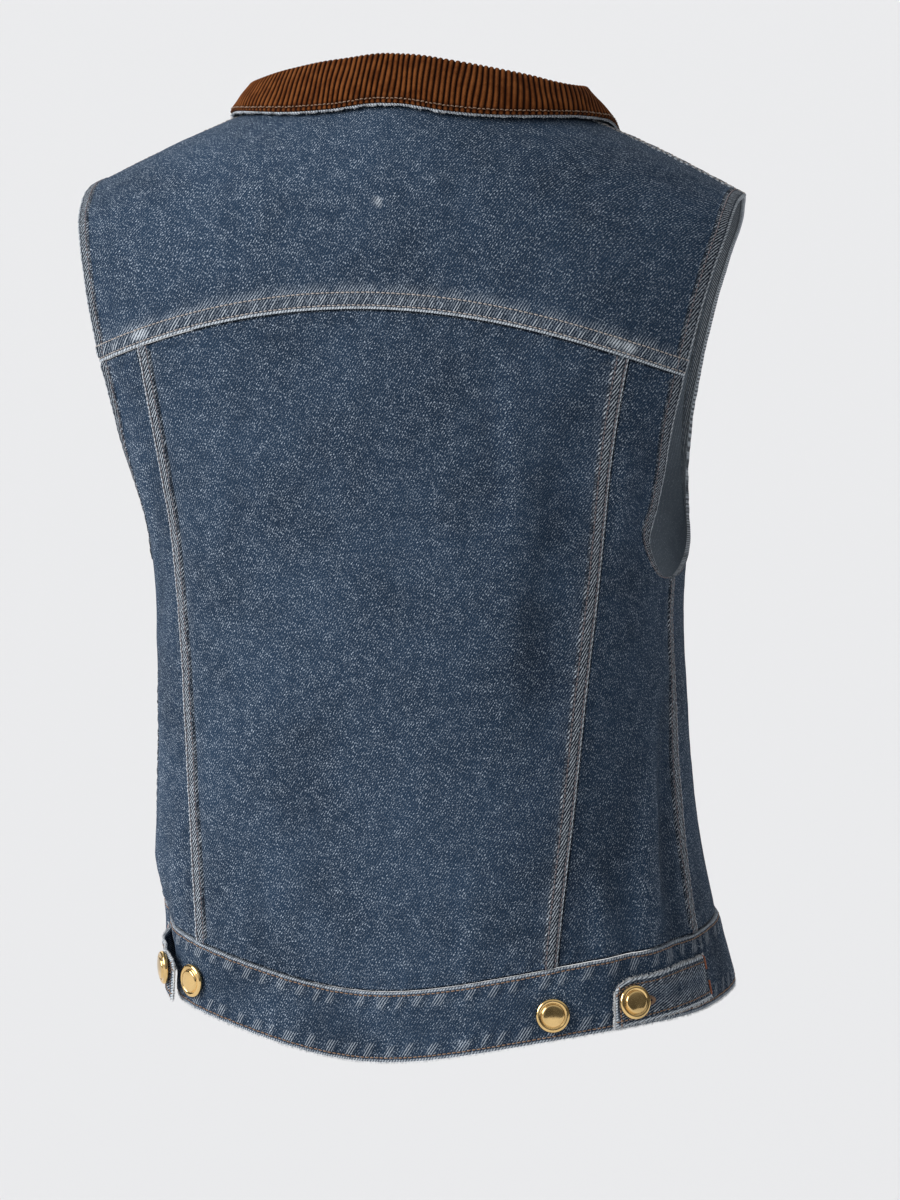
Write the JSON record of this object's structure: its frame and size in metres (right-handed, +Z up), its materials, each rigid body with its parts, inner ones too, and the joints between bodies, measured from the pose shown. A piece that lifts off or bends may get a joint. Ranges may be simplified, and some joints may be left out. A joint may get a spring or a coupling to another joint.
{
  "type": "denim vest",
  "caption": "Sleeveless denim jacket in its worn, hollow form, with an arched back yoke, long back seams, a ribbed collar, a waistband and buttoned side tabs.",
  "frame": {"origin": "middle of the neck opening at the height of the shoulders, where the wearer carries the vest", "axes": "+X towards the wearer's left, +Y towards the back, +Z up"},
  "size_m": [0.3994, 0.2807, 0.5856],
  "materials": {
    "denim": "faded mid-indigo right-hand twill, matte",
    "corduroy": "brown ribbed cotton pile, soft sheen",
    "gold_metal": "polished pale gold plating",
    "thread": "tan and off-white cotton sewing thread"
  },
  "bodies": {
    "root": {"back_centre": "denim", "back_side_left": "denim", "back_side_right": "denim", "front_left": "denim", "front_right": "denim", "front_band_left": "denim", "front_band_right": "denim", "yoke": "denim", "waistband": "denim", "tab_left": "denim", "tab_right": "denim", "tab_button_left": "gold_metal", "spare_button_left": "gold_metal", "tab_button_right": "gold_metal", "spare_button_right": "gold_metal", "front_button_1": "gold_metal", "front_button_2": "gold_metal", "front_button_3": "gold_metal", "front_button_4": "gold_metal", "front_button_5": "gold_metal", "waist_button": "gold_metal", "collar": "corduroy", "undercollar": "denim"}
  },
  "joints": []
}
